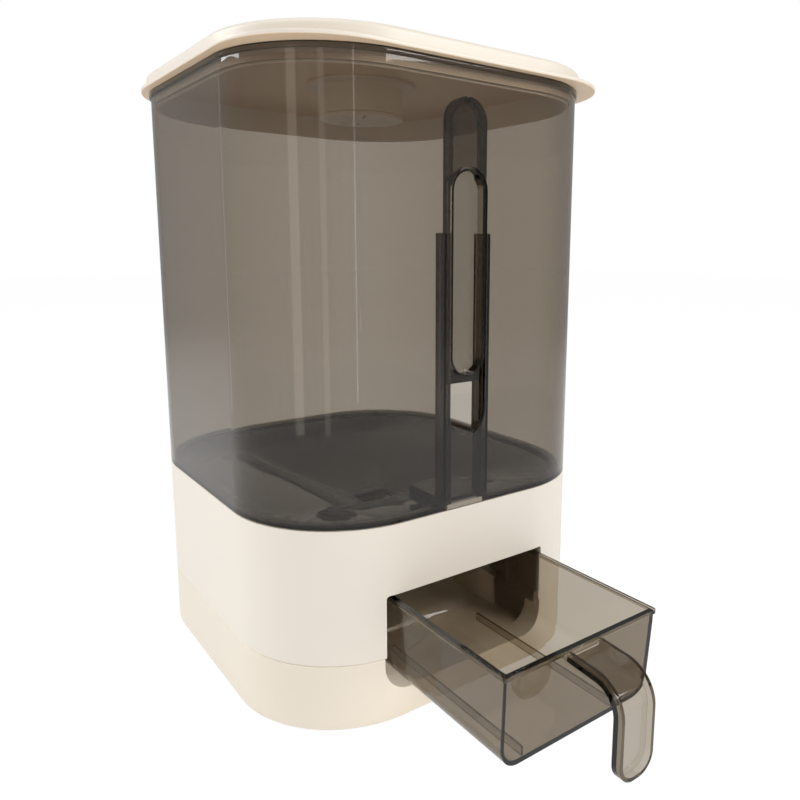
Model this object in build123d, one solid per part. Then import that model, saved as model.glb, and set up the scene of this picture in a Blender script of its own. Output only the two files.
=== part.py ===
"""Rice dispenser: a tinted grain tank on a pale base, with a lift-off lid and a pull-out drawer.

Millimetres.  +Z is up, the front looks towards -Y and +X is the right side seen from the front.
The origin is the middle of the base's underside.  The drawer stands open, as in use, and the
outlet's slider stands raised, which is its open position.
"""
from build123d import *
import os
from math import asin, cos, degrees, sin

os.makedirs("parts", exist_ok=True)

# ---- body ----
body_width = 230.0
body_depth = 250.0
front_corner = 68.0          # plan radius of the two front corners
rear_corner = 77.0           # plan radius of the two rear corners
plinth_height = 37.5         # parting line between the base's lower and upper halves
base_height = 114.0          # where the tank begins
tank_height = 242.0
wall = 2.5
fit_gap = 0.3                # between pieces that sit inside each other
slide_gap = 0.25             # under a piece that slides on a flat face
edge_break = 0.8             # small rounding on outer edges

front_y = -body_depth / 2
rim_z = base_height + tank_height
inner_front_y = front_y + wall

# ---- drawer opening in the base ----
opening_half_width = 57.5
gate_space = 40.0            # from the opening's top up to the tank, for the outlet's works
opening_top_radius = 2.0
opening_bottom_radius = 16.0
sill_z = 16.5
sill_return = 12.0           # how far the opening's edge turns back into the base
sill_return_wall = 2.0
sill_side_gap = 1.0          # the plinth's cut is this much wider than the opening above it

# ---- drawer ----
drawer_length = 138.0
drawer_open = 92.0           # how far its front edge stands out of the body
drawer_width = 107.5
drawer_head_gap = 2.5
rim_lip = 1.2
rim_lip_height = 2.0
drawer_wall = 2.0
drawer_floor_gap = 5.0       # from the sill up to the tub, where the runners are
drawer_side_lean = 1.2
drawer_front_lean = 3.0
drawer_long_radius = 11.0    # bottom edges along its sides
drawer_rear_radius = 12.0    # bottom edge and upright corners of the rear wall
drawer_front_radius = 1.0    # upright corners of the front wall
runner_offset = 32.0
runner_width = 1.2
runner_inset = 12.0
guide_gap = 0.75             # beside the drawer's rim
guide_wall = 1.8
guide_rise = 22.0            # above the sill
guide_setback = 40.0         # from the front wall back to where the guides begin
bed_thickness = 2.5
bed_rib = 2.0
bed_rib_inset = 4.0
stop_gap = 0.4

opening_top_z = base_height - gate_space
drawer_top_z = opening_top_z - drawer_head_gap
drawer_bottom_z = sill_z + drawer_floor_gap
drawer_half_width = drawer_width / 2
drawer_front_y = front_y - drawer_open
drawer_rear_y = drawer_front_y + drawer_length

# ---- drawer handle ----
handle_width = 23.6
handle_center_x = -1.0
handle_reach = 33.2
handle_depth = 5.2           # from the flange's edge to the back of the web
handle_web = 2.0
handle_top_gap = 1.5         # below the drawer's rim
handle_slope = 2.5           # how much its top falls on the way out
handle_bottom_z = 18.5
handle_outer_radius = 18.0
handle_end_radius = 10.0

handle_top_z = drawer_top_z - handle_top_gap
handle_inner_radius = handle_outer_radius - handle_depth

# ---- tank ----
tank_lip = 1.0
tank_lip_height = 3.0
tank_foot_width = 5.5        # inward flange at the tank's bottom
strip_x = -3.5               # centre of the slot, the slider and its rails
slot_width = 24.5
slot_rise = 42.0             # from the base's top up to the slot
slot_drop = 52.5             # from the tank's rim down to the slot
slot_low_z = base_height + slot_rise
slot_height = rim_z - slot_drop - slot_low_z
floor_thickness = 2.5
ledge_width = 8.0
ledge_thickness = 3.0

# ---- tank floor, a funnel ----
funnel_wall = 2.0
trough_width = 115.0
trough_front_gap = 62.0      # from the front of the body
trough_rear_gap = 38.0       # from its back
trough_drop = 9.0            # below the base's top
trough_corner = 8.0
outlet_setback = 109.0       # from the front of the body
outlet_width = 24.0
outlet_length = 15.0
outlet_drop = 27.7
outlet_flange = 2.0

trough_length = body_depth - trough_front_gap - trough_rear_gap
trough_center_y = (trough_front_gap - trough_rear_gap) / 2
trough_z = base_height - trough_drop
outlet_y = front_y + outlet_setback
outlet_z = base_height - outlet_drop

# ---- slider on the front wall ----
slider_width = 25.7
slider_depth = 5.5
slider_rise = 30.0           # from the slot's lower end up to the slider's straight edge
slider_head = 36.0           # how far its arch stands above the slot
slider_travel = 33.0
frame_width = 3.6            # border round the slider's thin upper panel
panel_recess = 3.3
ring_width = 23.7
ring_end_gap = 1.0
ring_rise = 3.5              # from the slider's straight edge up to the ring
ring_edge = 1.2
ring_recess = 0.4
pocket_skin = 1.5
notch_width = 2.0
notch_depth = 3.0
leg_inner = 10.1
leg_outer = 12.6
rail_half_span = 16.0
rail_rib = 2.0
rail_depth = 8.0
rail_lip = 1.6
rail_lip_reach = 3.2
rail_overlap = 82.5          # how far the rails reach above the slider's straight edge

slider_low_z = slot_low_z + slider_rise
slider_high_z = slot_low_z + slot_height + slider_head
ring_low_z = slider_low_z + ring_rise
ring_high_z = slot_low_z + slot_height - ring_end_gap
rail_high_z = slider_low_z + rail_overlap

# ---- lever between the slider and the outlet's shutter ----
pivot_setback = 48.5         # from the front of the body
pivot_drop = 17.5            # below the base's top
long_arm = 38.0
short_arm = 18.0
pivot_radius = 2.0
pivot_clearance = 0.05
drive_pin_radius = 1.6
drive_pin_gap = 0.4
lever_thickness = 3.0
lever_gap = 0.4
arm_width = 5.6
hub_radius = 4.6
cheek_thickness = 2.6
lug_thickness = 3.0
lug_wall = 1.6
lug_reach = 10.7
crossbar_depth = 4.5

# ---- shutter under the outlet ----
shutter_half_width = 17.0
shutter_thickness = 2.0
shutter_overlap = 1.5
shutter_length = 42.0
guide_half_span = 21.0
guide_lip = 3.0
guide_lip_thickness = 2.0
guide_front_reach = 34.0     # from the outlet's middle forwards
guide_rear_reach = 21.0

pivot_y = front_y + pivot_setback
pivot_z = base_height - pivot_drop
guide_front_y = outlet_y - guide_front_reach
guide_rear_y = outlet_y + guide_rear_reach

# ---- lid ----
lid_brim_offset = 5.6
lid_brim_tighter = 16.0      # how much tighter the brim's front corners are than the body's
lid_brim_thickness = 2.2
lid_wall_offset = 2.2
lid_rise = 10.0
lid_top_thickness = 2.4
lid_edge_radius = 3.0
lid_skirt_depth = 9.0
lid_skirt_wall = 1.8
seal_thickness = 1.7
seal_height = 3.0
seal_lift = 1.5              # from the skirt's lower edge up to the seal
seal_squeeze = 0.15

lid_top_z = rim_z + lid_rise

# ---- moisture absorber holder under the lid ----
cup_radius = 26.5
cup_wall = 1.8
cup_drop = 14.0              # from the tank's rim down to the cover
cup_flange_radius = 35.0
cup_flange_thickness = 1.8
cup_center_y = -4.6
cover_thickness = 2.0
cover_rim = 4.0
cover_slots = 8
cover_slot_width = 1.8
pack_height = 11.0
cup_low_z = rim_z - cup_drop

# ---- fasteners and feet ----
boss_radius = 4.5
boss_sink = 0.8
screw_radius = 1.5
screw_hole_radius = 1.8
screw_head_radius = 3.0
screw_head_height = 2.0
screw_head_z = 27.0
screw_bite = 10.0
pad_radius = 8.0
pad_thickness = 3.0
pad_proud = 1.5
tongue_depth = 4.0
tongue_wall = 1.5

lever_angle = degrees(asin(slider_travel / 2 / long_arm))
shutter_travel = 2 * short_arm * sin(asin(slider_travel / 2 / long_arm))


def footprint(offset=0.0, tighter=0.0):
    """Plan outline of the body, grown outwards by an offset, with tighter front corners if asked."""
    with BuildSketch() as plan:
        Rectangle(body_width + 2 * offset, body_depth + 2 * offset)
        fillet(plan.vertices().group_by(Axis.Y)[0], front_corner + offset - tighter)
        fillet(plan.vertices().group_by(Axis.Y)[-1], rear_corner + offset)
    return plan.sketch


def prism(plan, low, high):
    """Upright prism of a plan outline between two heights."""
    return extrude(Pos(0, 0, low) * plan, high - low)


def ring(outer, inner, low, high):
    """Band that follows the body's outline, between two offsets and two heights."""
    return prism(footprint(outer), low, high) - prism(footprint(inner), low, high)


def block(x, y, z):
    """Box between three pairs of limits."""
    size = (x[1] - x[0], y[1] - y[0], z[1] - z[0])
    return Pos((x[0] + x[1]) / 2, (y[0] + y[1]) / 2, (z[0] + z[1]) / 2) * Box(*size)


def disc(x, y, low, high, radius):
    """Upright cylinder."""
    return Pos(x, y, (low + high) / 2) * Cylinder(radius, high - low)


def cross_pin(x, y, z, radius):
    """Cylinder along X between two x limits."""
    return Pos((x[0] + x[1]) / 2, y, z) * Rot(0, 90, 0) * Cylinder(radius, x[1] - x[0])


def front_prism(face, y):
    """Prism along Y of an outline drawn as seen from the front, between two y limits."""
    return Pos(0, y[1], 0) * (Plane.XZ * extrude(face, y[1] - y[0], dir=(0, 0, 1)))


def side_prism(face, x):
    """Prism along X of an outline drawn with y across and z up, between two x limits."""
    return Pos(x[0], 0, 0) * (Plane.YZ * extrude(face, x[1] - x[0], dir=(0, 0, 1)))


def save(solid, name, colour):
    """Write one sub-part."""
    solid.label = name
    solid.color = Color(colour)
    export_step(solid, "parts/" + name + ".step")


# ---- base ----

def boss_points():
    """Plan positions of the screws that join the base's halves, along the walls."""
    side_x = body_width / 2 - wall - boss_radius + boss_sink
    rear_y = body_depth / 2 - wall - boss_radius + boss_sink
    sides = [(side * side_x, y) for side in (-1, 1) for y in (front_corner / 2 - 74, 30.0)]
    return sides + [(side * (body_width / 2 - rear_corner - 10), rear_y) for side in (-1, 1)]


def pad_points():
    """Plan positions of the feet."""
    return [(sx * (body_width / 2 - 42), sy * (body_depth / 2 - 42)) for sx in (-1, 1) for sy in (-1, 1)]


def opening_face(half_width, low, high, low_radius, high_radius):
    """Drawer opening as seen from the front."""
    with BuildSketch() as face:
        with Locations((0, (low + high) / 2)):
            Rectangle(2 * half_width, high - low)
        if low_radius:
            fillet(face.vertices().group_by(Axis.Y)[0], low_radius)
        if high_radius:
            fillet(face.vertices().group_by(Axis.Y)[-1], high_radius)
    return face.sketch


def build_plinth():
    """Lower half of the base: a tray with the drawer's sill and the screw bosses."""
    tray = prism(footprint(), 0, plinth_height)
    tray = fillet(tray.edges().group_by(Axis.Z)[0], edge_break)
    tray -= prism(footprint(-wall), floor_thickness, plinth_height)
    cut_half = opening_half_width + sill_side_gap
    sill = opening_face(cut_half, sill_z, 2 * plinth_height, opening_bottom_radius, 0)
    turned = opening_face(cut_half + sill_return_wall, sill_z - sill_return_wall, 2 * plinth_height,
                          opening_bottom_radius + sill_return_wall, 0)
    turned_top_z = plinth_height - tongue_depth - fit_gap
    turned_y = (front_y, inner_front_y + sill_return)
    tray += front_prism(turned, turned_y) & prism(footprint(-wall / 2), 0, turned_top_z)
    tray -= front_prism(sill, (front_y - 1, inner_front_y + sill_return + 1))
    for x, y in boss_points():
        tray += disc(x, y, 0, plinth_height, boss_radius) & prism(footprint(-wall / 2), 0, plinth_height)
        tray -= disc(x, y, 0, screw_head_z, screw_head_radius + fit_gap)
        tray -= disc(x, y, 0, plinth_height, screw_hole_radius)
    for x, y in pad_points():
        tray -= disc(x, y, 0, pad_thickness - pad_proud, pad_radius + fit_gap)
    return tray


def build_shell():
    """Upper half of the base: wall, drawer opening, ledge for the tank and screw posts."""
    shell = ring(0, -wall, plinth_height, base_height)
    ledge_low = base_height - floor_thickness - ledge_thickness
    shell += ring(-wall / 2, -wall - ledge_width, ledge_low, base_height - floor_thickness)
    tongue = ring(-wall - fit_gap, -wall - fit_gap - tongue_wall, plinth_height - tongue_depth, plinth_height)
    shell += ring(-wall / 2, -wall - fit_gap - tongue_wall, plinth_height, plinth_height + tongue_depth)
    for x, y in boss_points():
        tongue -= disc(x, y, 0, plinth_height, boss_radius + fit_gap)
        post = disc(x, y, plinth_height, ledge_low + 1, boss_radius)
        shell += post & prism(footprint(-wall / 2), plinth_height, base_height)
        shell -= disc(x, y, plinth_height, plinth_height + screw_bite + 2, screw_radius + 0.15)
    shell += tongue
    opening = opening_face(opening_half_width, -plinth_height, opening_top_z, 0, opening_top_radius)
    shell -= front_prism(opening, (front_y - 1, inner_front_y + 12))
    half = rail_half_span + fit_gap
    shell -= block((strip_x - half, strip_x + half), (inner_front_y, inner_front_y + 15),
                   (ledge_low - 1, base_height))
    return shell


def build_bed():
    """Bed inside the base that the drawer runs on, with side guides and a rear stop."""
    guide_inner = drawer_half_width + guide_gap
    guide_outer = guide_inner + guide_wall
    stop_y = front_y + drawer_length + stop_gap
    rear_y = stop_y + guide_wall
    low_z = sill_z - bed_thickness
    guide_top_z = sill_z + guide_rise
    floor_front_y = inner_front_y + sill_return + fit_gap
    bed = block((-guide_outer, guide_outer), (floor_front_y, rear_y), (low_z, sill_z))
    for side in (-1, 1):
        xs = sorted((side * guide_inner, side * guide_outer))
        bed += block(xs, (inner_front_y + guide_setback, rear_y), (low_z, guide_top_z))
    bed += block((-guide_outer, guide_outer), (stop_y, rear_y), (low_z, guide_top_z))
    for x in (-guide_outer + bed_rib_inset, 0, guide_outer - bed_rib_inset):
        bed += block((x - bed_rib / 2, x + bed_rib / 2), (floor_front_y, rear_y), (floor_thickness, low_z + 0.5))
    return bed


def build_pads():
    """Four soft feet in their recesses."""
    top = pad_thickness - pad_proud
    return Compound([disc(x, y, -pad_proud, top, pad_radius) for x, y in pad_points()])


def build_screws():
    """Screws that join the base's halves, put in from below."""
    screws = []
    for x, y in boss_points():
        shank = disc(x, y, screw_head_z, plinth_height + screw_bite, screw_radius)
        head = disc(x, y, screw_head_z - screw_head_height, screw_head_z, screw_head_radius)
        slot = Pos(x, y, screw_head_z - screw_head_height) * Box(3.4, 0.9, 1.6)
        cross = Pos(x, y, screw_head_z - screw_head_height) * Box(0.9, 3.4, 1.6)
        screws.append(shank + head - slot - cross)
    return Compound(screws)


# ---- tank and its floor ----

def build_tank():
    """Tinted tank wall with its rim, its foot and the slider's slot."""
    tank = ring(0, -wall, base_height, rim_z)
    tank += ring(tank_lip, -wall / 2, rim_z - tank_lip_height, rim_z)
    tank += ring(-wall / 2, -wall - tank_foot_width, base_height, base_height + floor_thickness)
    with BuildSketch() as face:
        with Locations((strip_x, slot_low_z + slot_height / 2)):
            RectangleRounded(slot_width, slot_height, slot_width / 2 - 0.01)
    tank -= front_prism(face.sketch, (front_y - 1, inner_front_y + 1))
    half = rail_half_span + fit_gap
    tank -= block((strip_x - half, strip_x + half), (inner_front_y, inner_front_y + 12),
                  (base_height, base_height + floor_thickness))
    return tank


def rounded_plan(width, length, radius, center_y, z):
    """Rounded rectangle at a height, as a funnel section."""
    return Pos(0, center_y, z) * RectangleRounded(width, length, radius)


def hump_limits(inset):
    """Space over the slider's feet: x, y limits of the floor's hump, shrunk by an inset."""
    half = rail_half_span - inset
    return (strip_x - half, strip_x + half), (inner_front_y + fit_gap, pivot_y - 11.5 - inset)


def foot_top_z():
    """Top of the slider's crossbar when the slider is raised."""
    return pivot_z + slider_travel / 2 + drive_pin_radius + drive_pin_gap + lug_wall


def hump_top_z():
    """Outside height of the floor's hump over the slider's feet."""
    return foot_top_z() + 1.9 + funnel_wall


def build_floor():
    """Funnel floor of the tank, with the outlet, the hump over the slider's feet and pivot cheeks."""
    flange_low = base_height - floor_thickness
    edge = -wall - ledge_width
    trough = (trough_width, trough_length, trough_corner, trough_center_y)
    neck = (outlet_width, outlet_length, 2.0, outlet_y)
    grow = 2 * funnel_wall
    outer_trough = (trough_width + grow, trough_length + grow, trough_corner + funnel_wall, trough_center_y)
    outer_neck = (outlet_width + grow, outlet_length + grow, 4.0, outlet_y)
    drop = funnel_wall + 0.5
    body = loft([Pos(0, 0, flange_low) * footprint(edge - fit_gap),
                 rounded_plan(*outer_trough, trough_z - drop)], ruled=True)
    body += loft([rounded_plan(*outer_trough, trough_z - drop),
                  rounded_plan(*outer_neck, outlet_z + outlet_flange)], ruled=True)
    body += prism(footprint(-wall - fit_gap), flange_low, base_height)
    body += block((-guide_half_span, guide_half_span), (guide_front_y, guide_rear_y),
                  (outlet_z, outlet_z + outlet_flange))
    hollow = loft([Pos(0, 0, base_height) * footprint(edge),
                   rounded_plan(*trough, trough_z)], ruled=True)
    hollow += loft([rounded_plan(*trough, trough_z),
                    rounded_plan(*neck, outlet_z + outlet_flange)], ruled=True)
    hollow += prism(Pos(0, outlet_y, 0) * RectangleRounded(outlet_width, outlet_length, 2.0),
                    outlet_z - 1, outlet_z + outlet_flange)
    for low, high in cheek_spans():
        body += block((low, high), (pivot_y - 5, pivot_y + 5), (pivot_z - 5, trough_z + 4))
    tray = body - hollow
    hump_x, hump_y = hump_limits(0)
    tray += block(hump_x, hump_y, (flange_low, hump_top_z()))
    inner_x, inner_y = hump_limits(funnel_wall)
    tray -= block(inner_x, (inner_front_y, inner_y[1]), (flange_low - 6, hump_top_z() - funnel_wall))
    for side in (-1, 1):
        xs = sorted((strip_x + side * (leg_inner - 0.4), strip_x + side * (leg_outer + 0.4)))
        tray -= block(xs, (inner_front_y, inner_front_y + slider_depth + 2 * fit_gap),
                      (hump_top_z() - 2 * funnel_wall, hump_top_z() + 1))
    tray -= cross_pin((strip_x - 20, strip_x + 20), pivot_y, pivot_z, pivot_radius)
    return tray


def cheek_spans():
    """X limits of the two cheeks that hold the lever's pivot."""
    right = strip_x + lever_thickness / 2 + lever_gap
    left = strip_x - lever_thickness / 2 - lever_gap
    return [(left - cheek_thickness, left), (right, right + cheek_thickness)]


def build_pivot():
    """Pin that the lever turns on."""
    spans = cheek_spans()
    return cross_pin((spans[0][0], spans[1][1]), pivot_y, pivot_z, pivot_radius)


def build_rails():
    """Two rails behind the front wall that guide the slider and its legs."""
    low = hump_top_z()
    back_y = inner_front_y + rail_depth
    rails = []
    for side in (-1, 1):
        rib_x = sorted((strip_x + side * (rail_half_span - rail_rib), strip_x + side * rail_half_span))
        lip_x = sorted((strip_x + side * (rail_half_span - rail_rib - rail_lip_reach),
                        strip_x + side * rail_half_span))
        rail = block(rib_x, (inner_front_y, back_y), (low, rail_high_z))
        rail += block(lip_x, (back_y - rail_lip, back_y), (low, rail_high_z))
        rails.append(rail)
    return Compound(rails)


# ---- slider, lever and shutter ----

def slider_y():
    """Y limits of the slider, behind the front wall."""
    return inner_front_y + fit_gap, inner_front_y + fit_gap + slider_depth


def drive_pin_z():
    """Height of the long arm's pin when the slider is raised."""
    return pivot_z + slider_travel / 2


def build_slider():
    """Arch-topped slider with a thin framed panel, a finger pocket and two legs."""
    y = slider_y()
    arch = slider_width / 2
    with BuildSketch() as face:
        with Locations((strip_x, (slider_low_z + slider_high_z) / 2)):
            Rectangle(slider_width, slider_high_z - slider_low_z)
        fillet(face.vertices().group_by(Axis.Y)[-1], arch - 0.01)
    plate = front_prism(face.sketch, y)
    ring_middle = (ring_low_z + ring_high_z) / 2
    ring_height = ring_high_z - ring_low_z
    with BuildSketch() as outer:
        with Locations((strip_x, ring_middle)):
            RectangleRounded(ring_width, ring_height, ring_width / 2 - 0.01)
    with BuildSketch() as inner:
        with Locations((strip_x, ring_middle)):
            RectangleRounded(ring_width - 2 * ring_edge, ring_height - 2 * ring_edge,
                             ring_width / 2 - ring_edge - 0.01)
    panel_low_z = ring_high_z - ring_width / 2
    panel_high_z = slider_high_z - frame_width
    with BuildSketch() as panel:
        with Locations((strip_x, (panel_low_z + panel_high_z) / 2)):
            Rectangle(slider_width - 2 * frame_width, panel_high_z - panel_low_z)
        fillet(panel.vertices().group_by(Axis.Y)[-1], arch - frame_width - 0.01)
    plate -= front_prism(panel.sketch, (y[1] - panel_recess, y[1] + 1))
    plate += front_prism(outer.sketch, (front_y + ring_recess, y[1]))
    plate -= front_prism(inner.sketch, (front_y, y[1] - pocket_skin))
    plate -= block((strip_x - notch_width / 2, strip_x + notch_width / 2), (y[0] - 1, y[1] + 1),
                   (slider_high_z - notch_depth, slider_high_z + 1))
    for side in (-1, 1):
        xs = sorted((strip_x + side * leg_inner, strip_x + side * leg_outer))
        plate += block(xs, y, (foot_top_z(), slider_low_z + 1))
    return plate


def build_crossbar():
    """Bar that joins the slider's legs below the floor and carries the lug for the lever."""
    y_low = slider_y()[0]
    y_back = y_low + crossbar_depth
    pin_z = drive_pin_z()
    low = 2 * pin_z - foot_top_z()
    bar = block((strip_x - leg_outer, strip_x + leg_outer), (y_low, y_back), (low, foot_top_z()))
    lug_right = strip_x - lever_thickness / 2 - lever_gap
    lug = block((lug_right - lug_thickness, lug_right), (y_back - 1, y_back + lug_reach), (low, foot_top_z()))
    half = drive_pin_radius + drive_pin_gap
    lug -= block((lug_right - lug_thickness, lug_right), (y_back, y_back + lug_reach), (pin_z - half, pin_z + half))
    return bar + lug


def arm_face(length, direction):
    """Round-ended arm from the pivot at (0, 0), towards -y (0) or -z (1)."""
    with BuildSketch() as face:
        if direction == 0:
            with Locations((-length / 2, 0)):
                SlotCenterToCenter(length, arm_width)
        else:
            with Locations((0, -length / 2)):
                SlotCenterToCenter(length, arm_width, rotation=90)
        Circle(hub_radius)
    return face.sketch


def build_lever():
    """Bell crank: its long arm follows the slider, its short arm pushes the shutter."""
    half = lever_thickness / 2
    crank = side_prism(arm_face(long_arm, 0) + arm_face(short_arm, 1), (-half, half))
    pin_x = (-half - lever_gap - lug_thickness - 0.6, half)
    crank += cross_pin(pin_x, -long_arm, 0, drive_pin_radius)
    crank += cross_pin(pin_x, 0, -short_arm, drive_pin_radius)
    crank -= cross_pin((-half - 1, half + 1), 0, 0, pivot_radius + pivot_clearance)
    return Pos(strip_x, pivot_y, pivot_z) * Rot(-lever_angle, 0, 0) * crank


def shutter_rear_y():
    """Rear edge of the shutter when it stands open."""
    closed = outlet_y + outlet_length / 2 + shutter_overlap
    return closed - shutter_travel


def build_shutter():
    """Plate that slides over the outlet, with a fork for the lever's short arm."""
    top = outlet_z - fit_gap
    low = top - shutter_thickness
    rear = shutter_rear_y()
    plate = block((-shutter_half_width, shutter_half_width), (rear - shutter_length, rear), (low, top))
    pin_y = pivot_y - shutter_travel / 2
    half = drive_pin_radius + drive_pin_gap
    fork_right = strip_x - lever_thickness / 2 - lever_gap
    fork_x = (fork_right - lug_thickness, fork_right)
    fork_y = (pin_y - half - 2.4, pin_y + half + 2.4)
    fork_low = pivot_z - short_arm - drive_pin_radius - 0.5
    plate += block((fork_x[0] - 3, fork_right), (fork_y[0], rear - shutter_length + 1), (low, top))
    plate += block(fork_x, fork_y, (fork_low, low))
    plate -= block(fork_x, (pin_y - half, pin_y + half), (fork_low, low))
    return plate


def build_guides():
    """Two channels under the outlet that carry the shutter."""
    low = outlet_z - fit_gap - shutter_thickness - fit_gap - guide_lip_thickness
    guides = []
    for side in (-1, 1):
        inner = shutter_half_width + fit_gap
        xs = sorted((side * inner, side * guide_half_span))
        lip = sorted((side * (inner - guide_lip), side * guide_half_span))
        guide = block(xs, (guide_front_y, guide_rear_y), (low, outlet_z))
        guide += block(lip, (guide_front_y, guide_rear_y), (low, low + guide_lip_thickness))
        guides.append(guide)
    return Compound(guides)


# ---- drawer ----

def drawer_tub(inset):
    """Outside of the drawer's tub shrunk by an inset: three prisms that meet."""
    half = drawer_half_width - rim_lip - inset
    front = drawer_front_y + rim_lip + inset
    rear = drawer_rear_y - rim_lip - inset
    low = drawer_bottom_z + inset
    high = drawer_top_z
    front_view = Polygon((-half, high), (half, high), (half - drawer_side_lean, low),
                         (-half + drawer_side_lean, low), align=None)
    front_view = fillet(front_view.vertices().group_by(Axis.Y)[0], drawer_long_radius - inset)
    side_view = Polygon((front, high), (rear, high), (rear, low), (front + drawer_front_lean, low), align=None)
    rear_corner_point = side_view.vertices().group_by(Axis.Y)[0].sort_by(Axis.X)[-1]
    side_view = fillet(rear_corner_point, drawer_rear_radius - inset)
    tub = front_prism(front_view, (front - 1, rear + 1)) & side_prism(side_view, (-half - 1, half + 1))
    return tub & prism(drawer_plan(inset + rim_lip), low - 1, high)


def drawer_plan(inset):
    """Plan outline of the drawer's rim shrunk by an inset."""
    with BuildSketch() as plan:
        with Locations((0, (drawer_front_y + drawer_rear_y) / 2)):
            Rectangle(2 * (drawer_half_width - inset), drawer_length - 2 * inset)
        fillet(plan.vertices().group_by(Axis.Y)[0], max(drawer_front_radius + rim_lip - inset, 0.5))
        fillet(plan.vertices().group_by(Axis.Y)[-1], drawer_rear_radius + rim_lip - inset)
    return plan.sketch


def build_drawer():
    """Tinted drawer: a tub with a rim and two runner ribs under its floor."""
    drawer = drawer_tub(0)
    drawer += prism(drawer_plan(0), drawer_top_z - rim_lip_height, drawer_top_z)
    drawer -= drawer_tub(drawer_wall)
    rib_low = sill_z + slide_gap
    for side in (-1, 1):
        x = (side * runner_offset - runner_width / 2, side * runner_offset + runner_width / 2)
        y = (drawer_front_y + runner_inset, drawer_rear_y - drawer_rear_radius - rim_lip)
        drawer += block(x, y, (rib_low, drawer_bottom_z + drawer_wall / 2))
    return drawer


def bent_face(outer_y, top, low, depth, outer_radius, inner_radius):
    """Side outline of a bar that leaves the drawer's wall at a height and bends down."""
    root = drawer_front_y + rim_lip + drawer_front_lean
    points = [(root, top), (outer_y, top - handle_slope), (outer_y, low),
              (outer_y + depth, low), (outer_y + depth, top - handle_slope - depth), (root, top - depth)]
    face = Polygon(*points, align=None)
    corners = {(round(v.X, 3), round(v.Y, 3)): v for v in face.vertices()}
    outer_corner = corners[(round(points[1][0], 3), round(points[1][1], 3))]
    face = fillet(outer_corner, outer_radius)
    corners = {(round(v.X, 3), round(v.Y, 3)): v for v in face.vertices()}
    inner_corner = corners[(round(points[4][0], 3), round(points[4][1], 3))]
    return fillet(inner_corner, inner_radius)


def end_face(inset):
    """Front view of the handle, with its rounded lower end."""
    half = handle_width / 2 - inset
    low = handle_bottom_z + inset
    with BuildSketch() as face:
        with Locations((handle_center_x, (low + handle_top_z + 10) / 2)):
            Rectangle(2 * half, handle_top_z + 10 - low)
        fillet(face.vertices().group_by(Axis.Y)[0], handle_end_radius - inset)
    return face.sketch


def build_handle():
    """Hooked pull on the drawer's front: a thin web with a flange round its edge."""
    outer_y = drawer_front_y - handle_reach
    x = (handle_center_x - handle_width / 2, handle_center_x + handle_width / 2)
    y = (outer_y - 1, drawer_front_y + rim_lip + drawer_front_lean)
    bar = side_prism(bent_face(outer_y, handle_top_z, handle_bottom_z, handle_depth,
                               handle_outer_radius, handle_inner_radius), x)
    bar &= front_prism(end_face(0), y)
    web_y = outer_y + handle_depth - handle_web
    root = drawer_front_y + rim_lip + drawer_front_lean
    web_top = handle_top_z - handle_depth + handle_web
    above = Polygon((root, web_top), (web_y, web_top - handle_slope), (web_y, 0), (outer_y - 5, 0),
                    (outer_y - 5, handle_top_z + 10), (root, handle_top_z + 10), align=None)
    corner = [v for v in above.vertices() if abs(v.X - web_y) < 0.01 and v.Y > 1][0]
    above = fillet(corner, handle_inner_radius + handle_web)
    trough = side_prism(above, (x[0] + handle_web, x[1] - handle_web))
    trough &= front_prism(end_face(handle_web), (y[0] - 10, y[1]))
    bar -= trough
    bar -= drawer_tub(0)
    bar -= prism(drawer_plan(0), drawer_top_z - rim_lip_height, drawer_top_z)
    return bar


# ---- lid ----

def build_lid():
    """Cap with a brim that rests on the tank's rim and a skirt that goes into the tank."""
    cap = prism(footprint(lid_wall_offset), rim_z, lid_top_z)
    cap = fillet(cap.edges().group_by(Axis.Z)[-1], lid_edge_radius)
    cap += prism(footprint(lid_brim_offset, lid_brim_tighter), rim_z, rim_z + lid_brim_thickness)
    ceiling = lid_top_z - lid_top_thickness
    cap -= prism(footprint(-wall), rim_z, ceiling)
    skirt = -wall - fit_gap - seal_thickness
    cap += ring(skirt, skirt - lid_skirt_wall, rim_z - lid_skirt_depth, ceiling + 0.5)
    return cap


def build_seal():
    """Soft ring round the lid's skirt, inside the tank's mouth."""
    low = rim_z - lid_skirt_depth + seal_lift
    inner = -wall - fit_gap - seal_thickness + seal_squeeze
    return ring(-wall - fit_gap, inner, low, low + seal_height)


def build_cup():
    """Holder for the moisture absorber under the lid, with a wide flange."""
    ceiling = lid_top_z - lid_top_thickness
    cup = disc(0, cup_center_y, cup_low_z + cover_thickness + fit_gap, ceiling, cup_radius)
    cup += disc(0, cup_center_y, ceiling - cup_flange_thickness, ceiling, cup_flange_radius)
    cup -= disc(0, cup_center_y, cup_low_z, ceiling - cup_flange_thickness, cup_radius - cup_wall)
    return cup


def build_cover():
    """Vented twist cover that closes the holder."""
    low = cup_low_z
    inner = cup_radius - cup_wall - fit_gap
    cover = disc(0, cup_center_y, low, low + cover_thickness, cup_radius)
    cover += disc(0, cup_center_y, low + cover_thickness, low + cover_thickness + cover_rim, inner)
    cover -= disc(0, cup_center_y, low + cover_thickness, low + cover_thickness + cover_rim, inner - cup_wall)
    cover += Pos(0, cup_center_y, low) * Cylinder(2.4, 1.6)
    for index in range(cover_slots):
        angle = 360 / cover_slots * (index + 0.5)
        slot = Pos(inner / 2 + 2, 0, low) * Box(inner * 0.5, cover_slot_width, 4 * cover_thickness)
        cover -= Pos(0, cup_center_y, 0) * Rot(0, 0, angle) * slot
    return cover


def build_pack():
    """Moisture absorber tablet inside the holder, lying on the cover."""
    low = cup_low_z + cover_thickness
    return disc(0, cup_center_y, low, low + pack_height, cup_radius - 2 * cup_wall - 2 * fit_gap)


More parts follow.
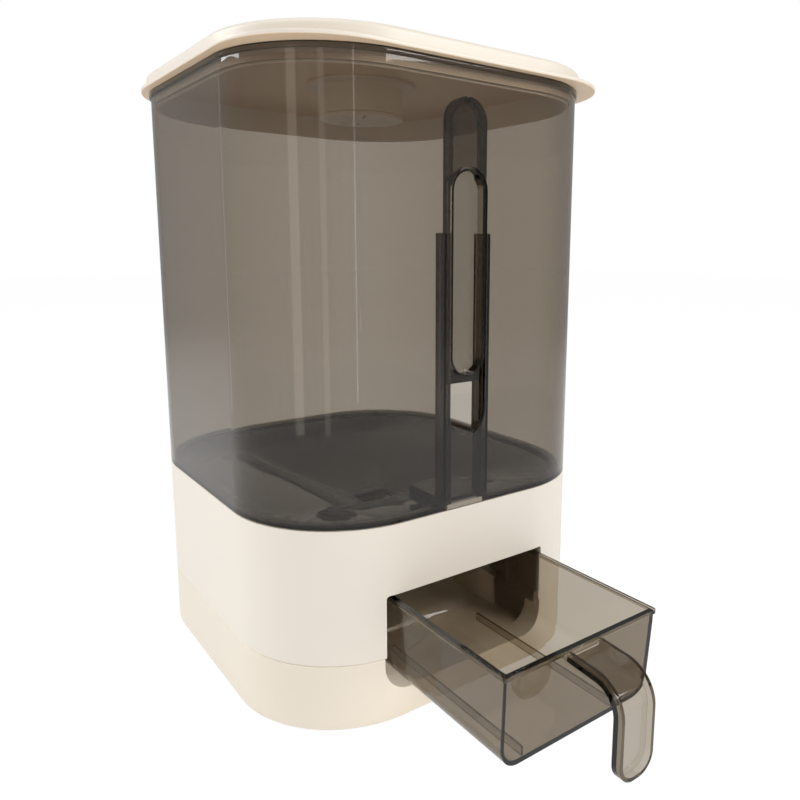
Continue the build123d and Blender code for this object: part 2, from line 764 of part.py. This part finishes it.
save(build_plinth(), "base_plinth", "wheat")
save(build_shell(), "base_shell", "wheat")
save(build_bed(), "drawer_bed", "wheat")
save(build_pads(), "foot_pads", "gray")
save(build_screws(), "base_screws", "gray")
save(build_tank(), "tank", "tan")
save(build_floor(), "tank_floor", "tan")
save(build_rails(), "slider_rails", "tan")
save(build_pivot(), "lever_pivot", "gray")
save(build_guides(), "shutter_guides", "white")
save(build_slider(), "outlet_slider", "tan")
save(build_crossbar(), "slider_crossbar", "white")
save(build_lever(), "outlet_lever", "white")
save(build_shutter(), "outlet_shutter", "white")
save(build_drawer(), "drawer_tub", "tan")
save(build_handle(), "drawer_handle", "tan")
save(build_lid(), "lid_shell", "wheat")
save(build_seal(), "lid_seal", "white")
save(build_cup(), "absorber_cup", "white")
save(build_cover(), "absorber_cover", "white")
save(build_pack(), "absorber_pack", "white")
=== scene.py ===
"""Looks of a rice dispenser: tinted tank and drawer, pale base and lid, in a plain pale studio."""

import logging
import math
from collections.abc import Callable
from dataclasses import dataclass, field
from enum import Enum

import bmesh
import bpy
from mathutils import Matrix, Vector


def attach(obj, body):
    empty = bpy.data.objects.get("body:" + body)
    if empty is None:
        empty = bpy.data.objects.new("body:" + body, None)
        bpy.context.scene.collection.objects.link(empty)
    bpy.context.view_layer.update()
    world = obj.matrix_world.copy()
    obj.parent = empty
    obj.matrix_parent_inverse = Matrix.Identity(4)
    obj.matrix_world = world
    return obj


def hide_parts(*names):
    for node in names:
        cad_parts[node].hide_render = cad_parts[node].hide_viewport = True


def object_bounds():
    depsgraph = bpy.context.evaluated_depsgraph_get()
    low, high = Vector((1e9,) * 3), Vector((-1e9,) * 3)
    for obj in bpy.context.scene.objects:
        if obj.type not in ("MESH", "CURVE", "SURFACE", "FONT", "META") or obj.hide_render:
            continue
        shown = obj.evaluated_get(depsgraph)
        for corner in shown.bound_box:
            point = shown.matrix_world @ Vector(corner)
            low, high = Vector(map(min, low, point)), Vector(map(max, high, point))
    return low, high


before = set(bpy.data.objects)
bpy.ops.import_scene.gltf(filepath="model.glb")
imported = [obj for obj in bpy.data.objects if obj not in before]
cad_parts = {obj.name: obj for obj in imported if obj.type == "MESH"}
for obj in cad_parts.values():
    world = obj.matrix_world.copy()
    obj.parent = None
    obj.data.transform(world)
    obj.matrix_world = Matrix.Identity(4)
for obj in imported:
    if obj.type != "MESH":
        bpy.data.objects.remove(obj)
CAD_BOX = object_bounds()

logging.basicConfig(level=logging.INFO, format="%(message)s")
LOG = logging.getLogger("dispenser")

PIXELS = 800                       # side of the square picture
MERGE_REACH = 0.000004             # metres within which a copy's loose corners are joined
FLAT_ANGLE = 0.4                   # degrees up to which neighbouring triangles are one face
SHARP_ANGLE = 38.0                 # degrees from which an edge is sharp and gets rounded
EDGE_STEPS = 2                     # steps of a rounded edge
WHITE = (1.0, 1.0, 1.0, 1.0)
Point = tuple[float, float, float]
Colour = tuple[float, float, float]


class Grain(Enum):
    """Surface texture of a moulding, as the scale of its pattern."""
    SATIN = 900.0
    SOFT = 500.0


def only(piece: bpy.types.Object) -> None:
    """Select one piece alone and make it active.

    Args:
        piece: the piece to select.
    """
    bpy.ops.object.select_all(action="DESELECT")
    piece.select_set(True)
    bpy.context.view_layer.objects.active = piece


def apply_modifiers(piece: bpy.types.Object) -> None:
    """Apply every modifier of a piece in order.

    Args:
        piece: the piece that has the modifiers.
    """
    only(piece)
    for modifier in list(piece.modifiers):
        bpy.ops.object.modifier_apply(modifier=modifier.name)


def merged_copy(node: str, name: str) -> bpy.types.Object:
    """Copy a solid's mesh with its loose triangles joined into whole faces.

    Args:
        node: the solid's name in the frame.
        name: what to call the new piece.

    Returns:
        The new piece, at the origin.
    """
    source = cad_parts[node]
    piece = source.copy()
    piece.data = source.data.copy()
    piece.name = name
    bpy.context.scene.collection.objects.link(piece)
    only(piece)
    bpy.ops.object.mode_set(mode="EDIT")
    bpy.ops.mesh.select_all(action="SELECT")
    bpy.ops.mesh.remove_doubles(threshold=MERGE_REACH)
    bpy.ops.mesh.dissolve_limited(angle_limit=math.radians(FLAT_ANGLE))
    bpy.ops.object.mode_set(mode="OBJECT")
    return piece


def soften(piece: bpy.types.Object, edge: float) -> None:
    """Round a piece's sharp edges, as a mould does, and even out its shading.

    Args:
        piece: the piece, already merged.
        edge: the rounding's width in metres.
    """
    sharp = math.radians(SHARP_ANGLE)
    bevel = piece.modifiers.new("edges", "BEVEL")
    bevel.width = edge
    bevel.segments = EDGE_STEPS
    bevel.limit_method = "ANGLE"
    bevel.angle_limit = sharp
    bevel.miter_outer = "MITER_ARC"
    apply_modifiers(piece)
    bpy.ops.object.shade_smooth_by_angle(angle=sharp)
    weighted = piece.modifiers.new("normals", "WEIGHTED_NORMAL")
    weighted.keep_sharp = True
    apply_modifiers(piece)


def plain_material(name: str) -> bpy.types.Material:
    """Make a material that still has its first nodes.

    Args:
        name: what to call it.

    Returns:
        The material.
    """
    material = bpy.data.materials.new(name)
    material.use_nodes = True
    return material


def socket(node: bpy.types.Node, name: str, value: object) -> None:
    """Set one input of a node by its name."""
    node.inputs[name].default_value = value


def noise(tree: bpy.types.NodeTree, place: bpy.types.Node, scale: float,
          detail: float) -> bpy.types.NodeSocket:
    """Add a cloudy pattern that stays on the piece when it moves.

    Args:
        tree: the material's nodes.
        place: its Texture Coordinate node.
        scale: the pattern's scale.
        detail: how much finer structure it has.

    Returns:
        The socket that carries the pattern.
    """
    pattern = tree.nodes.new("ShaderNodeTexNoise")
    socket(pattern, "Scale", scale)
    socket(pattern, "Detail", detail)
    tree.links.new(place.outputs["Object"], pattern.inputs["Vector"])
    return pattern.outputs["Fac"]


def mapped(tree: bpy.types.NodeTree, value: bpy.types.NodeSocket, low: float, high: float,
           start: float = 0.0, end: float = 1.0) -> bpy.types.Node:
    """Add a node that maps one range onto another.

    Args:
        tree: the nodes to add it to.
        value: the socket that carries what is mapped.
        low: what the start of its range becomes.
        high: what the end of its range becomes.
        start: the start of its range.
        end: the end of its range.

    Returns:
        The node, whose Result carries the outcome.
    """
    span = tree.nodes.new("ShaderNodeMapRange")
    for name, number in (("From Min", start), ("From Max", end), ("To Min", low), ("To Max", high)):
        socket(span, name, number)
    tree.links.new(value, span.inputs["Value"])
    return span


@dataclass(frozen=True)
class PaleMoulding:
    """Opaque moulded plastic with a faint mottling and a fine texture."""
    name: str
    colour: Colour
    roughness: float = 0.42
    grain: Grain = Grain.SATIN
    bump: float = 0.02               # strength of the texture's relief
    painted_underside_shade: Colour | None = None      # painted shade and warm bounced light on the faces that look down
    shades: bool = True              # no lamp shines through it
    stray: float = 0.05              # how far the roughness strays either way
    relief: float = 0.0002           # depth of the texture in metres
    grain_detail: float = 2.0
    top_layer: float = 0.12          # weight of the thin clear layer on top
    top_roughness: float = 0.25
    mottle_scale: float = 9.0
    mottle_detail: float = 4.0
    darkest: float = 0.975           # share of the colour where the mottling is dark
    palest: float = 1.015            # and where it is pale
    painted_shade_start: float = -0.35       # upward part of the normal where the painted underside shade starts
    painted_shade_full: float = -0.85        # and where it is full

    def make(self) -> bpy.types.Material:
        """Build the material.

        Returns:
            The material, ready to assign.
        """
        material = plain_material(self.name)
        tree = material.node_tree
        shader = tree.nodes["Principled BSDF"]
        socket(shader, "Coat Weight", self.top_layer)
        socket(shader, "Coat Roughness", self.top_roughness)
        place = tree.nodes.new("ShaderNodeTexCoord")
        ramp = tree.nodes.new("ShaderNodeValToRGB")
        for element, share in zip(ramp.color_ramp.elements, (self.darkest, self.palest)):
            element.color = (*[min(1.0, part * share) for part in self.colour], 1.0)
        tree.links.new(noise(tree, place, self.mottle_scale, self.mottle_detail), ramp.inputs["Fac"])
        tree.links.new(self.with_painted_underside_shade(tree, place, ramp.outputs["Color"]), shader.inputs["Base Color"])
        fine = noise(tree, place, self.grain.value, self.grain_detail)
        gloss = mapped(tree, fine, self.roughness - self.stray, self.roughness + self.stray)
        tree.links.new(gloss.outputs["Result"], shader.inputs["Roughness"])
        bump = tree.nodes.new("ShaderNodeBump")
        socket(bump, "Strength", self.bump)
        socket(bump, "Distance", self.relief)
        tree.links.new(fine, bump.inputs["Height"])
        tree.links.new(bump.outputs["Normal"], shader.inputs["Normal"])
        return material

    def with_painted_underside_shade(self, tree: bpy.types.NodeTree, place: bpy.types.Node,
              plain: bpy.types.NodeSocket) -> bpy.types.NodeSocket:
        """Paint shade and warm bounced light on the faces that look down, where the finish asks for it.

        Args:
            tree: the material's nodes.
            place: its Texture Coordinate node.
            plain: the colour of the other faces.

        Returns:
            The socket that carries the colour.
        """
        if self.painted_underside_shade is None:
            return plain
        parts = tree.nodes.new("ShaderNodeSeparateXYZ")
        tree.links.new(place.outputs["Normal"], parts.inputs["Vector"])
        # how much painted shade and warm bounced light a face takes, by how far it looks down
        down = mapped(tree, parts.outputs["Z"], 0.0, 1.0, self.painted_shade_start, self.painted_shade_full)
        mix = tree.nodes.new("ShaderNodeMix")
        mix.data_type = "RGBA"
        tree.links.new(down.outputs["Result"], mix.inputs["Factor"])
        tree.links.new(plain, mix.inputs["A"])
        socket(mix, "B", (*self.painted_underside_shade, 1.0))
        return mix.outputs["Result"]


@dataclass(frozen=True)
class TintedPlastic:
    """Clear plastic whose tint deepens with the length of plastic that light crosses."""
    name: str
    passes: Colour                   # share of light that comes through one wall
    shades: bool = False             # lamps shine through it
    wall: float = 0.0025             # that wall's thickness in metres
    roughness: float = 0.02
    stray: float = 0.5               # share of the roughness by which it strays either way
    haze_scale: float = 60.0
    haze_detail: float = 3.0
    index: float = 1.46              # how strongly it bends light
    headroom: float = 1.1            # keeps every part of the absorbing colour above zero

    def make(self) -> bpy.types.Material:
        """Build the material.

        Returns:
            The material, ready to assign.
        """
        material = plain_material(self.name)
        tree = material.node_tree
        shader = tree.nodes["Principled BSDF"]
        socket(shader, "Base Color", WHITE)
        socket(shader, "Transmission Weight", 1.0)
        socket(shader, "IOR", self.index)
        haze = noise(tree, tree.nodes.new("ShaderNodeTexCoord"), self.haze_scale, self.haze_detail)
        gloss = mapped(tree, haze, self.roughness * (1 - self.stray), self.roughness * (1 + self.stray))
        tree.links.new(gloss.outputs["Result"], shader.inputs["Roughness"])
        loss = [-math.log(share) / self.wall for share in self.passes]
        density = max(loss) * self.headroom
        tint = tree.nodes.new("ShaderNodeVolumeAbsorption")
        socket(tint, "Density", density)
        socket(tint, "Color", (*[1 - part / density for part in loss], 1.0))
        tree.links.new(tint.outputs["Volume"], tree.nodes["Material Output"].inputs["Volume"])
        return material


Finish = PaleMoulding | TintedPlastic


@dataclass(frozen=True)
class Lamp:
    """Soft lamp that hangs in some direction from its target and faces it."""
    name: str
    turn: float                  # degrees about Z from +X
    rise: float                  # degrees above the floor
    reach: float                 # metres from the target
    target: Point
    size: tuple[float, float]    # width and height
    power: float                 # watts
    tone: Colour = (1.0, 1.0, 1.0)

    def hang(self) -> None:
        """Add the lamp, hidden where it is looked at, so that only its light and gloss show."""
        turn, rise = math.radians(self.turn), math.radians(self.rise)
        away = Vector((math.cos(turn) * math.cos(rise), math.sin(turn) * math.cos(rise), math.sin(rise)))
        data = bpy.data.lights.new(self.name, "AREA")
        data.shape = "RECTANGLE"
        data.size, data.size_y = self.size
        data.energy = self.power
        data.color = self.tone
        lamp = bpy.data.objects.new(self.name, data)
        bpy.context.scene.collection.objects.link(lamp)
        lamp.location = Vector(self.target) + away * self.reach
        lamp.rotation_euler = (-away).to_track_quat("-Z", "Y").to_euler()
        lamp.visible_camera = False
        lamp.visible_transmission = False


MIDDLE = (0.0, 0.0, 0.17)                    # middle of the whole object
TANK_CORNER = (-0.047, -0.057, 0.26)         # middle of the tank's rounded front corner
SOFTBOX = (0.9, 0.8)
LAMPS = (
    Lamp("left_softbox", 141.0, 29.0, 2.0, MIDDLE, SOFTBOX, 16.0, (0.97, 0.985, 1.0)),
    Lamp("right_softbox", -62.0, 29.0, 2.0, MIDDLE, SOFTBOX, 15.6, (1.0, 0.985, 0.955)),
    Lamp("top_softbox", -165.0, 73.0, 1.9, MIDDLE, (0.9, 0.9), 4.8),
    Lamp("strip_back", 121.0, 0.0, 0.8, TANK_CORNER, (0.03, 0.72), 0.03),
    Lamp("strip_wide", -155.0, 0.0, 0.7, TANK_CORNER, (0.1, 0.72), 0.3, (1.0, 0.9, 0.75)),
    Lamp("strip_middle", -130.0, 0.0, 0.7, TANK_CORNER, (0.06, 0.72), 0.12, (1.0, 0.92, 0.8)),
    Lamp("strip_thin", -103.0, 0.0, 0.9, TANK_CORNER, (0.02, 0.72), 0.1),
)


@dataclass
class Studio:
    """Floor, white surroundings, lamps and the camera of the photograph."""
    camera_place: Point = (-0.2519, -0.4383, 0.2621)
    look_turn: float = -37.45       # degrees about Z from +Y, towards -X when positive
    look_down: float = 9.245
    roll: float = 0.463
    focal_pixels: float = 727.18
    centre_x: float = 456.38        # where the view's axis meets the picture, in pixels
    centre_y: float = 363.37
    sensor: float = 36.0            # width in millimetres
    nearest: float = 0.01           # metres from which the camera sees
    ambient: float = 0.55           # light that the surroundings give
    mirrored: float = 0.36          # how bright they are in a reflection
    floor_mirrored: float = 0.85    # and how bright the floor is there, near the object
    fade_from: float = 0.25         # where the floor starts to fade to the surroundings in a reflection
    fade_to: float = 2.2            # and where it has faded
    floor_glow: float = 1.03        # how bright the plain white share of the floor is
    floor_share: float = 0.93       # how much of the seen floor is plain white
    floor_grey: float = 0.9         # tone of the share that takes the object's shadow
    floor_size: float = 12.0
    floor_z: float = field(default_factory=lambda: CAD_BOX[0][2])

    def add_camera(self) -> None:
        """Create the camera at the photograph's place."""
        turn, down, roll = (math.radians(a) for a in (self.look_turn, self.look_down, self.roll))
        ahead = Vector((-math.sin(turn) * math.cos(down), math.cos(turn) * math.cos(down), -math.sin(down)))
        right = Vector((math.cos(turn), math.sin(turn), 0.0))
        above = right.cross(ahead)
        across = right * math.cos(roll) + above * math.sin(roll)
        upward = above * math.cos(roll) - right * math.sin(roll)
        data = bpy.data.cameras.new("camera")
        data.sensor_width = self.sensor
        data.lens = self.focal_pixels / PIXELS * self.sensor
        data.shift_x = (PIXELS / 2 - self.centre_x) / PIXELS
        data.shift_y = (self.centre_y - PIXELS / 2) / PIXELS
        data.clip_start = self.nearest
        camera = bpy.data.objects.new("camera", data)
        bpy.context.scene.collection.objects.link(camera)
        turned = Matrix((across, upward, -ahead)).transposed().to_4x4()
        camera.matrix_world = Matrix.Translation(self.camera_place) @ turned
        bpy.context.scene.camera = camera

    @staticmethod
    def ray_level(tree: bpy.types.NodeTree, plain: float, seen: float,
                  mirrored: float | bpy.types.NodeSocket) -> bpy.types.NodeSocket:
        """Add nodes whose value depends on how a ray arrives.

        Args:
            tree: the nodes to add them to.
            plain: the value for the light that falls on the object.
            seen: the value where it is looked at, straight or through clear plastic.
            mirrored: the value in a reflection, or the socket that carries what it adds there.

        Returns:
            The socket that carries the value.
        """
        path = tree.nodes.new("ShaderNodeLightPath")
        looked = tree.nodes.new("ShaderNodeMath")
        looked.operation = "MAXIMUM"
        tree.links.new(path.outputs["Is Camera Ray"], looked.inputs[0])
        tree.links.new(path.outputs["Is Transmission Ray"], looked.inputs[1])
        gloss = tree.nodes.new("ShaderNodeMath")
        gloss.operation = "SUBTRACT"
        gloss.use_clamp = True
        tree.links.new(path.outputs["Is Glossy Ray"], gloss.inputs[0])
        tree.links.new(path.outputs["Is Transmission Ray"], gloss.inputs[1])
        total = None
        for factor, value in ((looked, seen), (gloss, mirrored)):
            part = tree.nodes.new("ShaderNodeMath")
            part.operation = "MULTIPLY_ADD"
            tree.links.new(factor.outputs["Value"], part.inputs[0])
            if isinstance(value, float):
                part.inputs[1].default_value = value - plain
            else:
                tree.links.new(value, part.inputs[1])
            if total is None:
                part.inputs[2].default_value = plain
            else:
                tree.links.new(total, part.inputs[2])
            total = part.outputs["Value"]
        return total

    def fading(self, tree: bpy.types.NodeTree) -> bpy.types.NodeSocket:
        """Add nodes whose value falls with the distance from the object, as the lit floor does.

        Args:
            tree: the floor's nodes.

        Returns:
            The socket that carries the value.
        """
        place = tree.nodes.new("ShaderNodeTexCoord")
        far = tree.nodes.new("ShaderNodeVectorMath")
        far.operation = "LENGTH"
        tree.links.new(place.outputs["Object"], far.inputs[0])
        fade = mapped(tree, far.outputs["Value"], self.floor_mirrored, self.mirrored,
                      self.fade_from, self.fade_to)
        fade.interpolation_type = "SMOOTHSTEP"
        return fade.outputs["Result"]

    def add_surroundings(self) -> None:
        """Make the world white where it is seen, and an even soft light elsewhere."""
        world = bpy.data.worlds.new("surroundings")
        bpy.context.scene.world = world
        world.use_nodes = True
        tree = world.node_tree
        background = tree.nodes["Background"]
        socket(background, "Color", WHITE)
        level = self.ray_level(tree, self.ambient, 1.0, self.mirrored)
        tree.links.new(level, background.inputs["Strength"])

    def add_floor(self) -> None:
        """Add a pale floor that is nearly white where seen and keeps the object's shadow."""
        bpy.ops.mesh.primitive_plane_add(size=self.floor_size, location=(0.0, 0.0, self.floor_z))
        floor = bpy.context.object
        floor.name = "floor"
        material = plain_material("floor_paper")
        tree = material.node_tree
        tree.nodes.remove(tree.nodes["Principled BSDF"])
        matt = tree.nodes.new("ShaderNodeBsdfDiffuse")
        socket(matt, "Color", (self.floor_grey, self.floor_grey, self.floor_grey, 1.0))
        glow = tree.nodes.new("ShaderNodeEmission")
        mix = tree.nodes.new("ShaderNodeMixShader")
        strength = self.ray_level(tree, 0.0, self.floor_glow, self.fading(tree))
        share = self.ray_level(tree, 0.0, self.floor_share, self.floor_share)
        tree.links.new(strength, glow.inputs["Strength"])
        tree.links.new(share, mix.inputs["Fac"])
        tree.links.new(matt.outputs["BSDF"], mix.inputs[1])
        tree.links.new(glow.outputs["Emission"], mix.inputs[2])
        tree.links.new(mix.outputs["Shader"], tree.nodes["Material Output"].inputs["Surface"])
        floor.data.materials.append(material)

    def build(self) -> None:
        """Add everything around the object."""
        bpy.context.scene.view_settings.view_transform = "Standard"
        self.add_camera()
        self.add_surroundings()
        self.add_floor()
        for lamp in LAMPS:
            lamp.hang()


PALE_SHELL = PaleMoulding("pale_shell", (0.86, 0.80, 0.715))
PALE_PLINTH = PaleMoulding("pale_plinth", (0.86, 0.785, 0.67))
# the lid's deeper, warmer tone on faces that look down is painted shade and warm bounced light
PALE_LID = PaleMoulding("pale_lid", (0.86, 0.79, 0.695), painted_underside_shade=(0.96, 0.73, 0.51))
PALE_INNER = PaleMoulding("pale_inner", (0.84, 0.74, 0.61), 0.5)
WHITE_INNER = PaleMoulding("white_inner", (0.82, 0.82, 0.79), 0.45)
SOFT_RING = PaleMoulding("soft_ring", (0.66, 0.54, 0.42), 0.6, Grain.SOFT)
SOFT_FOOT = PaleMoulding("soft_foot", (0.12, 0.12, 0.115), 0.7, Grain.SOFT, 0.05)
PLATED = PaleMoulding("plated", (0.5, 0.5, 0.5), 0.3)
WRAP = PaleMoulding("wrap", (0.82, 0.82, 0.8), 0.7, Grain.SOFT, 0.08)
TINT = TintedPlastic("tint", (0.515, 0.475, 0.425))
TINT_DRAWER = TintedPlastic("tint_drawer", (0.44, 0.39, 0.32))
TINT_DEEP = TintedPlastic("tint_deep", (0.25, 0.22, 0.185), shades=True)
# partly the floor's own tint, which it shares with the tank, and partly painted shade of the dark base
# beneath it
FLOOR_TINT_AND_SHADE = TintedPlastic("tint_floor_and_painted_shade", (0.11, 0.096, 0.082), shades=True)


class Body(Enum):
    """Bodies of the motion model that the moulded pieces ride on."""
    BASE = "base"
    SLIDER = "slider"
    DRAWER = "drawer"
    LID = "lid"
    COVER = "cover"


class Slot(Enum):
    """Material slots of the record, by name."""
    SHELL = "pale_shell"
    TINTED = "tinted"
    INNER = "pale_inner"


@dataclass
class Workshop:
    """Makes each finish once, and turns the frame's solids into finished pieces."""
    made: dict[str, bpy.types.Material] = field(default_factory=dict)

    def coat(self, piece: bpy.types.Object, finish: Finish) -> None:
        """Give a piece its finish.

        Args:
            piece: the piece to dress.
            finish: what it is made of.
        """
        if finish.name not in self.made:
            self.made[finish.name] = finish.make()
        piece.data.materials.clear()
        piece.data.materials.append(self.made[finish.name])
        piece.visible_shadow = finish.shades

    def carry(self, node: str, finish: Finish) -> None:
        """Keep a solid's own mesh and dress it.

        Args:
            node: the solid's name in the frame.
            finish: what it is made of.
        """
        self.coat(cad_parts[node], finish)
        LOG.info("dressed %s with %s", node, finish.name)

    def mould(self, node: str, finish: Finish, body: Body, edge: float,
              prepare: Callable[[bpy.types.Object], None] | None = None) -> None:
        """Replace a solid by a copy with rounded edges, and dress that.

        Args:
            node: the solid's name in the frame.
            finish: what it is made of.
            body: the body that it rides on.
            edge: the rounding's width in metres.
            prepare: what else is done to the merged copy first.
        """
        piece = merged_copy(node, node + "_moulded")
        if prepare:
            prepare(piece)
        soften(piece, edge)
        self.coat(piece, finish)
        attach(piece, body.value)
        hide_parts(node)
        LOG.info("moulded %s in %s: %d faces", node, finish.name, len(piece.data.polygons))


@dataclass
class Base:
    """Plinth and shell on soft feet, with the bed that the drawer runs on."""
    shell_edge: float = 0.0005
    plinth_edge: float = 0.0005
    seam_z: float = 0.0375           # where the shell stands on the plinth
    seam_ease: float = 0.0008        # how far each is eased there
    seam_steps: int = 3
    tolerance: float = 0.00005
    upright: float = 0.2             # largest vertical part of an upright face's normal
    level: float = 0.9               # smallest vertical part of a level face's normal

    def on_seam(self, edge: bmesh.types.BMEdge) -> bool:
        """Tell whether an edge lies on the outside of the parting line.

        Args:
            edge: the edge.

        Returns:
            True if it joins an outer upright face to a level one at the seam's height.
        """
        middle = (edge.verts[0].co + edge.verts[1].co) / 2
        return (all(abs(v.co.z - self.seam_z) < self.tolerance for v in edge.verts)
                and any(abs(f.normal.z) < self.upright and f.normal.xy.dot(middle.xy) > 0.0
                        for f in edge.link_faces)
                and any(abs(f.normal.z) > self.level for f in edge.link_faces))

    def ease_seam(self, piece: bpy.types.Object) -> None:
        """Round the outer edge of a piece along the parting line, so that a fine groove shows.

        Args:
            piece: the plinth or the shell.
        """
        only(piece)
        bpy.ops.object.mode_set(mode="EDIT")
        bpy.ops.mesh.select_all(action="DESELECT")
        mesh = bmesh.from_edit_mesh(piece.data)
        seam = [edge for edge in mesh.edges if self.on_seam(edge)]
        for edge in seam:
            edge.select_set(True)
        LOG.info("eased %d edges of %s", len(seam), piece.name)
        mesh.select_flush(True)
        bmesh.update_edit_mesh(piece.data)
        bpy.ops.mesh.bevel(offset=self.seam_ease, segments=self.seam_steps, clamp_overlap=False)
        bpy.ops.object.mode_set(mode="OBJECT")

    def build(self, shop: Workshop) -> None:
        """Build and dress the base.

        Args:
            shop: what makes and dresses the pieces.
        """
        shop.mould("base_plinth", PALE_PLINTH, Body.BASE, self.plinth_edge, self.ease_seam)
        shop.mould("base_shell", PALE_SHELL, Body.BASE, self.shell_edge, self.ease_seam)
        shop.carry("drawer_bed", PALE_INNER)
        shop.carry("foot_pads", SOFT_FOOT)
        shop.carry("base_screws", PLATED)


@dataclass
class Tank:
    """Clear tinted tank, its sloped floor and the rails that hold the slider."""
    wall_edge: float = 0.0004
    floor_edge: float = 0.0004
    rail_edge: float = 0.0003

    def build(self, shop: Workshop) -> None:
        """Build and dress the tank.

        Args:
            shop: what makes and dresses the pieces.
        """
        shop.mould("tank", TINT, Body.BASE, self.wall_edge)
        # the floor's tint is deepened with painted shade of the dark base beneath
        shop.mould("tank_floor", FLOOR_TINT_AND_SHADE, Body.BASE, self.floor_edge)
        shop.mould("slider_rails", TINT_DEEP, Body.BASE, self.rail_edge)


@dataclass
class Outlet:
    """Slider with its finger pocket, and the lever and shutter that it works."""
    slider_edge: float = 0.0003

    def build(self, shop: Workshop) -> None:
        """Build and dress the outlet's parts.

        Args:
            shop: what makes and dresses the pieces.
        """
        shop.mould("outlet_slider", TINT_DEEP, Body.SLIDER, self.slider_edge)
        shop.carry("slider_crossbar", WHITE_INNER)
        shop.carry("outlet_lever", WHITE_INNER)
        shop.carry("lever_pivot", PLATED)
        shop.carry("outlet_shutter", WHITE_INNER)
        shop.carry("shutter_guides", WHITE_INNER)


@dataclass
class Drawer:
    """Tinted tub, which keeps its own crisp mesh, and the hooked pull at its front."""
    handle_edge: float = 0.0004

    def build(self, shop: Workshop) -> None:
        """Build and dress the drawer.

        Args:
            shop: what makes and dresses the pieces.
        """
        shop.carry("drawer_tub", TINT_DRAWER)
        shop.mould("drawer_handle", TINT_DRAWER, Body.DRAWER, self.handle_edge)


@dataclass
class Lid:
    """Lid with its brim and seal, and the cup, pack and cover of the moisture absorber."""
    lid_edge: float = 0.0006
    cup_edge: float = 0.0004
    cover_edge: float = 0.0003

    def build(self, shop: Workshop) -> None:
        """Build and dress the lid.

        Args:
            shop: what makes and dresses the pieces.
        """
        shop.mould("lid_shell", PALE_LID, Body.LID, self.lid_edge)
        shop.mould("absorber_cup", PALE_INNER, Body.LID, self.cup_edge)
        shop.mould("absorber_cover", PALE_INNER, Body.COVER, self.cover_edge)
        shop.carry("lid_seal", SOFT_RING)
        shop.carry("absorber_pack", WRAP)


def main() -> None:
    """Build the studio and each sub-assembly in order."""
    Studio().build()
    shop = Workshop()
    for assembly in (Base(), Tank(), Outlet(), Drawer(), Lid()):
        assembly.build(shop)
        LOG.info("built %s", type(assembly).__name__)


if __name__ == "__main__":
    main()
